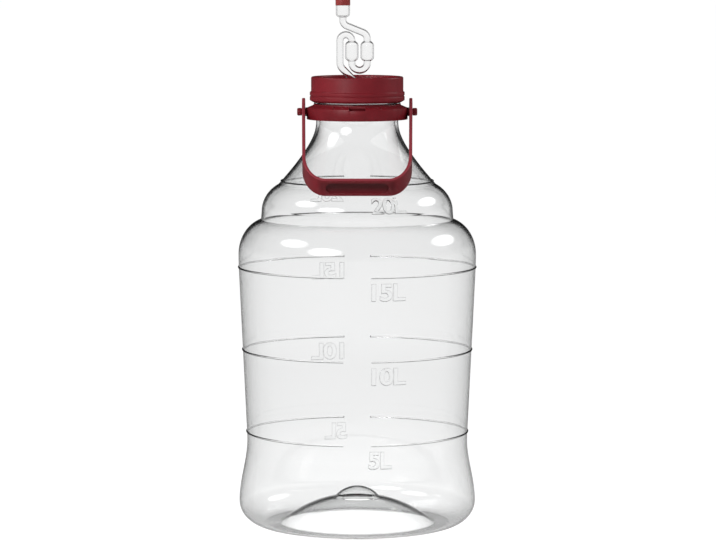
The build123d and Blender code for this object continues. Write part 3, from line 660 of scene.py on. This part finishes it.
def cap_outline():
    """Closed section of the cap: skirt with its bands, hollow rim, sunk panel and the core under it."""
    band = CAP_RADIUS + CAP_BAND_PROJECTION
    groove = band - CAP_GROOVE_DEPTH
    band_foot = CAP_FOOT + CAP_UNDERSIDE_RISE
    band_top = band_foot + CAP_BAND_HEIGHT
    bead_start = band_top + CAP_GROOVE
    bead_end = bead_start + CAP_BEAD
    core_roof = CAP_TOP - CAP_CORE_ROOF
    core = RECESS_RADIUS + CAP_CORE_WALL
    return rounded([
        (SKIRT_BORE, CAP_FOOT, FOOT_EDGE), (SKIRT_BORE + CAP_FOOT_LAND, CAP_FOOT, FOOT_EDGE),
        (band, band_foot, CAP_EDGE), (band, band_top, CAP_EDGE),
        (groove, band_top + CAP_GROOVE / 3, CAP_EDGE), (groove, bead_start - CAP_GROOVE / 3, CAP_EDGE),
        (band, bead_start, CAP_EDGE), (band, bead_end, CAP_EDGE),
        (CAP_RADIUS, bead_end + CAP_GROOVE_DEPTH, CAP_EDGE), (CAP_RADIUS, CAP_TOP, CAP_RIM_ROUND),
        (RECESS_RADIUS, CAP_TOP, CAP_RIM_ROUND), (RECESS_RADIUS, PANEL_TOP, PANEL_EDGE),
        (GROMMET_HOLE, PANEL_TOP, HOLE_EDGE), (GROMMET_HOLE, PANEL_FOOT, HOLE_EDGE),
        (core, PANEL_FOOT, FOOT_EDGE), (core, core_roof, ROOF_EDGE), (SKIRT_BORE, core_roof, ROOF_EDGE),
        (SKIRT_BORE, RIM_HEIGHT, BORE_EDGE)])


def threaded(outline, angle):
    """Outline with close rows down the bore, and the rib that stands in from it by the thread's relief."""
    rows = np.linspace(RIM_HEIGHT - THREAD_END_GAP, CAP_FOOT + THREAD_END_GAP, THREAD_ROWS)
    line = np.vstack([outline, np.stack([np.full(THREAD_ROWS, SKIRT_BORE), rows], axis=1)])
    in_bore = (np.abs(line[:, :1] - SKIRT_BORE) < SURFACE_SLACK) & (line[:, 1:] < RIM_HEIGHT)
    depth = thread_relief(line[:, 1], angle + math.pi) * in_bore
    radius = line[:, :1] - depth
    return np.stack([radius * np.cos(angle), radius * np.sin(angle), line[:, 1:] + 0 * radius], axis=2)


def moulded_skin():
    """Shader group for moulded plastic: slow colour drift, fine grain height and roughness mottle."""
    group = bpy.data.node_groups.new("moulded_skin", "ShaderNodeTree")
    face = group.interface
    for name, kind, value in (("Colour", "NodeSocketColor", CAP_RED),
                              ("Deep Colour", "NodeSocketColor", CAP_DEEP_RED),
                              ("Roughness", "NodeSocketFloat", 0.35),
                              ("Grain Scale", "NodeSocketFloat", 900.0)):
        face.new_socket(name=name, in_out="INPUT", socket_type=kind).default_value = value
    for name, kind in (("Colour", "NodeSocketColor"), ("Roughness", "NodeSocketFloat"),
                       ("Height", "NodeSocketFloat")):
        face.new_socket(name=name, in_out="OUTPUT", socket_type=kind)
    add = node_maker(group)
    given = add("NodeGroupInput").outputs
    place = add("ShaderNodeTexCoord").outputs["Object"]
    drift = add("ShaderNodeTexNoise", {"Vector": place, "Scale": DRIFT_SCALE, "Detail": 3.0})
    drift_mask = add("ShaderNodeMapRange", {0: drift.outputs[0], 1: DRIFT_LOW, 2: DRIFT_HIGH})
    colour = add("ShaderNodeMix", {0: drift_mask.outputs[0], 6: given["Colour"], 7: given["Deep Colour"]},
                 data_type="RGBA")
    grain = add("ShaderNodeTexNoise", {"Vector": place, "Scale": given["Grain Scale"], "Detail": 2.0})
    mottle = add("ShaderNodeMapRange", {0: grain.outputs[0], 3: MOTTLE_LOW, 4: MOTTLE_HIGH})
    rough = add("ShaderNodeMath", {0: given["Roughness"], 1: mottle.outputs[0]}, operation="MULTIPLY")
    add("NodeGroupOutput", {"Colour": colour.outputs[2], "Roughness": rough.outputs[0],
                            "Height": grain.outputs[0]})
    return group


def moulded_plastic(name, colour, deep_colour, roughness, grain_scale, grain_height):
    """Opaque moulded plastic: the shared skin with its own colours, gloss and grain."""
    material, add = blank_material(name)
    skin = add("ShaderNodeGroup", node_tree=moulded_skin_group)
    for key, value in (("Colour", colour), ("Deep Colour", deep_colour), ("Roughness", roughness),
                       ("Grain Scale", grain_scale)):
        skin.inputs[key].default_value = value
    bump = add("ShaderNodeBump", {"Height": skin.outputs["Height"], "Distance": grain_height * MM,
                                  "Strength": 1.0})
    surface = add("ShaderNodeBsdfPrincipled", {"Base Color": skin.outputs["Colour"], "IOR": 1.5,
                                               "Specular IOR Level": MOULDED_GLOSS, "Normal": bump.outputs[0],
                                               "Roughness": skin.outputs["Roughness"]})
    add("ShaderNodeOutputMaterial", {"Surface": surface.outputs[0]})
    return material


moulded_skin_group = moulded_skin()
cap_red = moulded_plastic("cap_red", CAP_RED, CAP_DEEP_RED, roughness=0.42, grain_scale=1100.0,
                          grain_height=0.05)
cap_angle = np.linspace(0, 2 * math.pi, CAP_COLUMNS, endpoint=False)
cap = surface_piece("cap_shell", threaded(cap_outline(), cap_angle), loop_rows=True)
dressed(cap, cap_red, "lid", "red_cap", "cap")

# Liner and grommet. A soft pale foam ring seals the cap on the neck's rim, and a black rubber bush
# in the panel's hole grips the airlock's stem.
LINER_WHITE, LINER_SHADE = (0.8, 0.8, 0.78, 1), (0.7, 0.7, 0.67, 1)
RUBBER_BLACK, RUBBER_SHADE = (0.03, 0.03, 0.032, 1), (0.02, 0.02, 0.021, 1)
liner_foam = moulded_plastic("liner_foam", LINER_WHITE, LINER_SHADE, roughness=0.8, grain_scale=1500.0,
                             grain_height=0.12)
grommet_rubber = moulded_plastic("grommet_rubber", RUBBER_BLACK, RUBBER_SHADE, roughness=0.6,
                                 grain_scale=1300.0, grain_height=0.06)
for node, finish, slot in (("cap_liner", liner_foam, "liner_foam"),
                           ("airlock_grommet", grommet_rubber, "grommet_rubber")):
    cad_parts[node].data.materials.clear()
    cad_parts[node].data.materials.append(finish)

# Airlock. A clear moulded tube: a cup, a crossing, a trap between two bubbles, an arch, and a stem
# that is pushed into the grommet. It is one carried round section whose radius swells at the bubbles.
TUBE_RADIUS, TUBE_WALL = 4.1, 1.0
STEM_REACH, STEM_BEND, STEM_GAP, GROMMET_LIP_HEIGHT = 15.0, 6.4, 0.25, 1.5
RISER_OFFSET, RISER_BEND = -19.6, 12.0
BUBBLE_RADIUS, BUBBLE_HEIGHT, BUBBLE_ROUND = 7.7, 23.3, 5.5
BUBBLE_RIGHT, BUBBLE_LEFT, BUBBLE_LIFT = 11.4, -6.2, 29.7
TRAP_DROP, ARCH_LIFT, CROSSING_LIFT, CROSSING_RISE, CROSSING_BEND = 1.35, 0.45, 7.75, 11.1, 8.0
FUNNEL_LIFT, FUNNEL_OFFSET, FUNNEL_RADIUS, FUNNEL_HEIGHT, FUNNEL_ROUND = 8.1, -16.3, 8.0, 13.0, 4.0
FUNNEL_RIM_RADIUS, FUNNEL_RIM_HEIGHT = 7.1, 6.0
TUBE_SIDES, TUBE_STEP, BEND_POINTS, ON_AXIS = 40, 0.6, 40, 0.05
AIRLOCK_TINT = (0.995, 0.995, 0.995, 1)
# The ramp below darkens the tube where it is seen edge-on: painted shade for its dark outlines.
AIRLOCK_GRAZING = ((0.0, 1.0), (0.35, 0.98), (0.5, 0.82), (0.65, 0.55), (0.8, 0.35), (1.0, 0.15))
STEM_CORNER = PANEL_TOP + GROMMET_LIP_HEIGHT + STEM_BEND * math.tan(math.pi / 8) + STEM_GAP
BUBBLE_FOOT = PANEL_TOP + BUBBLE_LIFT
BUBBLE_CENTRE = BUBBLE_FOOT + BUBBLE_HEIGHT / 2
TRAP_BEND = (BUBBLE_RIGHT - BUBBLE_LEFT) / 2
TRAP_CORNER = BUBBLE_FOOT - TRAP_DROP - TRAP_BEND
ARCH_BEND = (BUBBLE_LEFT - RISER_OFFSET) / 2
ARCH_CORNER = BUBBLE_FOOT + BUBBLE_HEIGHT + ARCH_LIFT + ARCH_BEND
CROSSING_FOOT = BUBBLE_FOOT + BUBBLE_HEIGHT + CROSSING_LIFT
FUNNEL_BASE = CROSSING_FOOT + CROSSING_RISE + FUNNEL_LIFT
FUNNEL_TOP = FUNNEL_BASE + FUNNEL_HEIGHT + FUNNEL_RIM_HEIGHT


def bent_route(corners, step):
    """Even points along straight runs joined by tangent arcs, from (x, z, bend radius) corners."""
    corners = np.array(corners, float)
    line = [corners[:1, :2]]
    for before, here, after in zip(corners, corners[1:], corners[2:]):
        arrive = (here[:2] - before[:2]) / np.linalg.norm(here[:2] - before[:2])
        leave = (after[:2] - here[:2]) / np.linalg.norm(after[:2] - here[:2])
        cut = here[2] * math.tan(math.acos(np.clip(arrive @ leave, -1, 1)) / 2)
        line.append(tangent_arc(here[:2] - arrive * cut, arrive, here[:2] + leave * cut, BEND_POINTS))
    line = np.vstack(line + [corners[-1:, :2]])
    return stations(line, np.linspace(0, travel(line)[-1], int(travel(line)[-1] / step)))


def airlock_radius(route, inset):
    """Radius at each point: the tube's, or the bubbles' and the cup's rounded cylinders where wider."""
    radius = np.full(len(route), TUBE_RADIUS - inset)
    bubble_round = BUBBLE_ROUND - inset
    past = np.maximum(np.abs(route[:, 1] - BUBBLE_CENTRE) - (BUBBLE_HEIGHT / 2 - BUBBLE_ROUND), 0)
    bubble = BUBBLE_RADIUS - BUBBLE_ROUND + np.sqrt(np.maximum(bubble_round**2 - past**2, 0))
    aside = np.minimum(np.abs(route[:, 0] - BUBBLE_RIGHT), np.abs(route[:, 0] - BUBBLE_LEFT))
    radius = np.where((aside < ON_AXIS) & (past < bubble_round), np.maximum(radius, bubble), radius)
    lift = route[:, 1] - FUNNEL_BASE
    low = np.clip(FUNNEL_ROUND - lift, 0, FUNNEL_ROUND - inset)
    cup = FUNNEL_RADIUS - FUNNEL_ROUND + np.sqrt((FUNNEL_ROUND - inset)**2 - low**2)
    cup = np.where(lift > FUNNEL_HEIGHT - SURFACE_SLACK, FUNNEL_RIM_RADIUS - inset, cup)
    return np.where(lift > inset, np.maximum(radius, cup), radius)


def carried(route, radius, sides):
    """Tube: route point + radius (cos a across the route in its plane + sin a along Y)."""
    slope = np.gradient(route, axis=0)
    slope /= np.linalg.norm(slope, axis=1)[:, None]
    angle = np.linspace(0, 2 * math.pi, sides, endpoint=False)
    across = radius[:, None] * np.cos(angle)
    return np.stack([route[:, :1] - slope[:, 1:] * across, radius[:, None] * np.sin(angle),
                     route[:, 1:] + slope[:, :1] * across], axis=2)


airlock_route = bent_route([
    (FUNNEL_OFFSET, FUNNEL_TOP, 0), (FUNNEL_OFFSET, CROSSING_FOOT + CROSSING_RISE, CROSSING_BEND),
    (BUBBLE_RIGHT, CROSSING_FOOT, CROSSING_BEND), (BUBBLE_RIGHT, TRAP_CORNER, TRAP_BEND),
    (BUBBLE_LEFT, TRAP_CORNER, TRAP_BEND), (BUBBLE_LEFT, ARCH_CORNER, ARCH_BEND),
    (RISER_OFFSET, ARCH_CORNER, ARCH_BEND), (RISER_OFFSET, STEM_CORNER - RISER_OFFSET, RISER_BEND),
    (0, STEM_CORNER, STEM_BEND), (0, PANEL_FOOT - STEM_REACH, 0)], TUBE_STEP)
airlock_grid = np.vstack([carried(airlock_route, airlock_radius(airlock_route, 0), TUBE_SIDES),
                          carried(airlock_route, airlock_radius(airlock_route, TUBE_WALL), TUBE_SIDES)[::-1]])
clear_airlock = clear_plastic("clear_airlock", AIRLOCK_TINT, AIRLOCK_GRAZING, roughness=0.005, ior=1.12,
                              wave_scale=60.0, wave_height=0.01)
airlock = surface_piece("airlock_tube", airlock_grid, loop_rows=True)
marked(airlock, "depth", 1.0)
dressed(airlock, clear_airlock, "bubbler", "clear_airlock", "airlock")

# Dust cap. A small red moulded cap that drops loosely over the rim of the airlock's cup, so that
# gas gets out and dust stays out.
DUST_CAP_PLAY, DUST_CAP_WALL, DUST_CAP_ROOF, DUST_CAP_GAP, DUST_CAP_ROUND = 0.1, 1.2, 1.3, 0.3, 0.9
DUST_CAP_FOOT_EDGE, DUST_CAP_INNER_EDGE, DUST_CAP_STEPS, DUST_CAP_COLUMNS = 0.25, 0.2, 6, 64
DUST_RED, DUST_DEEP_RED = (0.36, 0.055, 0.05, 1), (0.28, 0.04, 0.04, 1)


def dust_cap_line():
    """Section from the axis on top, down outside, and back up inside to the axis under the roof."""
    inside = FUNNEL_RIM_RADIUS + DUST_CAP_PLAY
    outside = inside + DUST_CAP_WALL
    foot = FUNNEL_BASE + FUNNEL_HEIGHT + DUST_CAP_GAP
    top = FUNNEL_TOP + DUST_CAP_ROOF
    line = rounded([(0, FUNNEL_TOP, 0), (0, top, 0), (outside, top, DUST_CAP_ROUND),
                    (outside, foot, DUST_CAP_FOOT_EDGE), (inside, foot, DUST_CAP_INNER_EDGE),
                    (inside, FUNNEL_TOP, DUST_CAP_INNER_EDGE)], DUST_CAP_STEPS)
    return line[line[:, 0] > SURFACE_SLACK]


dust_cap_red = moulded_plastic("dust_cap_red", DUST_RED, DUST_DEEP_RED, roughness=0.3, grain_scale=1600.0,
                               grain_height=0.02)
dust_angle = np.linspace(0, 2 * math.pi, DUST_CAP_COLUMNS, endpoint=False)
dust_line = dust_cap_line()
dust_radius = dust_line[:, :1]
dust_grid = np.stack([FUNNEL_OFFSET + dust_radius * np.cos(dust_angle), dust_radius * np.sin(dust_angle),
                      dust_line[:, 1:] + 0 * dust_angle], axis=2)
dust_cap = surface_piece("dust_cap_shell", dust_grid, loop_rows=False)
dressed(dust_cap, dust_cap_red, "dust_cap", "red_dust_cap", "airlock_dust_cap")

# Collar. A red moulded ring, hollow and ribbed below, that snaps under the neck's bead and carries
# the handle on two slotted pins. It is the solid's own mesh with its moulded edges rounded.
COLLAR_RED, COLLAR_DEEP_RED = (0.22, 0.012, 0.02, 1), (0.18, 0.01, 0.016, 1)
EDGE_MERGE, EDGE_ROUND, EDGE_STEPS, EDGE_ANGLE, FLAT_ANGLE = 0.004, 0.35, 2, 35.0, 0.5


def round_edged(node, name):
    """Copy of a CAD node with its doubles merged, its flats joined and a small bevel on its sharp edges."""
    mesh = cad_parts[node].data.copy()
    work = bmesh.new()
    work.from_mesh(mesh)
    bmesh.ops.remove_doubles(work, verts=work.verts, dist=EDGE_MERGE * MM)
    bmesh.ops.dissolve_limit(work, angle_limit=math.radians(FLAT_ANGLE), verts=work.verts, edges=work.edges)
    work.to_mesh(mesh)
    work.free()
    mesh.name = name
    mesh.polygons.foreach_set("use_smooth", np.ones(len(mesh.polygons), bool))
    piece = linked(name, mesh)
    bevel = piece.modifiers.new("edge_round", "BEVEL")
    bevel.width, bevel.segments = EDGE_ROUND * MM, EDGE_STEPS
    bevel.limit_method, bevel.angle_limit = "ANGLE", math.radians(EDGE_ANGLE)
    bevel.use_clamp_overlap = True
    bevel.harden_normals = True
    return piece


collar_red = moulded_plastic("collar_red", COLLAR_RED, COLLAR_DEEP_RED, roughness=0.38, grain_scale=1100.0,
                             grain_height=0.04)
dressed(round_edged("neck_collar", "collar_ring"), collar_red, "collar", "red_collar", "neck_collar")

# Handle. A red flat strap moulded as a bail, with rounded edges and a scoop in the outside of its
# grip. Its two holes snap over the collar's pins, and it rests on the bottle's front shoulder.
HANDLE_RED, HANDLE_DEEP_RED = (0.21, 0.012, 0.02, 1), (0.17, 0.01, 0.016, 1)
HANDLE_LEAN, HANDLE_PIVOT = 53.3, 474.308
# The scoop's dark red is painted shade in the recess, spreading as a softer halo onto the face round it;
# SCOOP_DULL only raises roughness there.
SCOOP_PAINTED_SHADE, SCOOP_DULL = (0.07, 0.006, 0.008, 1), 0.2
SCOOP_HALF_LENGTH, SCOOP_HALF_WIDTH, SCOOP_LENGTH_FADE, SCOOP_WIDTH_FADE = 35.0, 7.0, 10.0, 3.0
SCOOP_FACE, SCOOP_MOUTH, SCOOP_FLOOR, SCOOP_BACK, SCOOP_HALO = -133.6, -133.2, -131.0, -130.2, 0.55
SCOOP_SHADE = ((0.0, 1.0), (0.55, 1.0), (1.0, 0.35))
# The paler red along both long edges of the strap is a painted highlight.
STRAP_EDGE, STRAP_EDGE_SOFT, EDGE_PAINTED_HIGHLIGHT = 10.9, 0.5, (0.3, 0.04, 0.055, 1)


def handle_finish(material):
    """Adds painted shade and a duller gloss to the scoop's floor, and a painted highlight along the strap's
    edges, to the handle's plastic: masks over x, y and z in the handle's own leaning frame, with z along the
    strap's reach and y across its width."""
    add = node_maker(material.node_tree)
    surface = next(node for node in material.node_tree.nodes if node.type == "BSDF_PRINCIPLED")
    own = add("ShaderNodeMapping", {"Vector": add("ShaderNodeTexCoord").outputs["Object"],
                                    "Location": (0, 0, HANDLE_PIVOT * MM),
                                    "Rotation": (-math.radians(HANDLE_LEAN), 0, 0)}, vector_type="TEXTURE")
    axes = add("ShaderNodeSeparateXYZ", {0: own.outputs[0]})

    def within(value, start, end, least=0.0):
        return add("ShaderNodeMapRange", {0: value, 1: start * MM, 2: end * MM, 3: least}).outputs[0]

    def both(one, other):
        return add("ShaderNodeMath", {0: one, 1: other}, operation="MULTIPLY").outputs[0]

    side = add("ShaderNodeMath", {0: axes.outputs["X"]}, operation="ABSOLUTE").outputs[0]
    across = add("ShaderNodeMath", {0: axes.outputs["Y"]}, operation="ABSOLUTE").outputs[0]
    depth = axes.outputs["Z"]
    # Painted shade mask: full on the sunk floor, part strength on the face round the scoop, fading towards
    # one long side.
    sunk = both(within(depth, SCOOP_FACE, SCOOP_MOUTH, SCOOP_HALO), within(depth, SCOOP_BACK, SCOOP_FLOOR))
    inside = both(within(side, SCOOP_HALF_LENGTH + SCOOP_LENGTH_FADE, SCOOP_HALF_LENGTH),
                  within(across, SCOOP_HALF_WIDTH + SCOOP_WIDTH_FADE, SCOOP_HALF_WIDTH))
    shade = grey_ramp(add, within(axes.outputs["Y"], -SCOOP_HALF_WIDTH, SCOOP_HALF_WIDTH), SCOOP_SHADE)
    scoop_shade_and_dull_mask = both(both(sunk, inside), shade)
    skin, rough = (surface.inputs[name].links[0].from_socket for name in ("Base Color", "Roughness"))
    # Painted highlight along both long edges of the strap.
    at_edge = within(across, STRAP_EDGE, STRAP_EDGE + STRAP_EDGE_SOFT)
    edged = add("ShaderNodeMix", {0: at_edge, 6: skin, 7: EDGE_PAINTED_HIGHLIGHT}, data_type="RGBA")
    coloured = add("ShaderNodeMix", {0: scoop_shade_and_dull_mask, 6: edged.outputs[2], 7: SCOOP_PAINTED_SHADE}, data_type="RGBA")
    dulled = add("ShaderNodeMath", {0: scoop_shade_and_dull_mask, 1: SCOOP_DULL, 2: rough}, operation="MULTIPLY_ADD")
    material.node_tree.links.new(coloured.outputs[2], surface.inputs["Base Color"])
    material.node_tree.links.new(dulled.outputs[0], surface.inputs["Roughness"])


handle_red = moulded_plastic("handle_red", HANDLE_RED, HANDLE_DEEP_RED, roughness=0.33, grain_scale=1000.0,
                             grain_height=0.04)
handle_finish(handle_red)
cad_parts["handle"].data.materials.clear()
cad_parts["handle"].data.materials.append(handle_red)
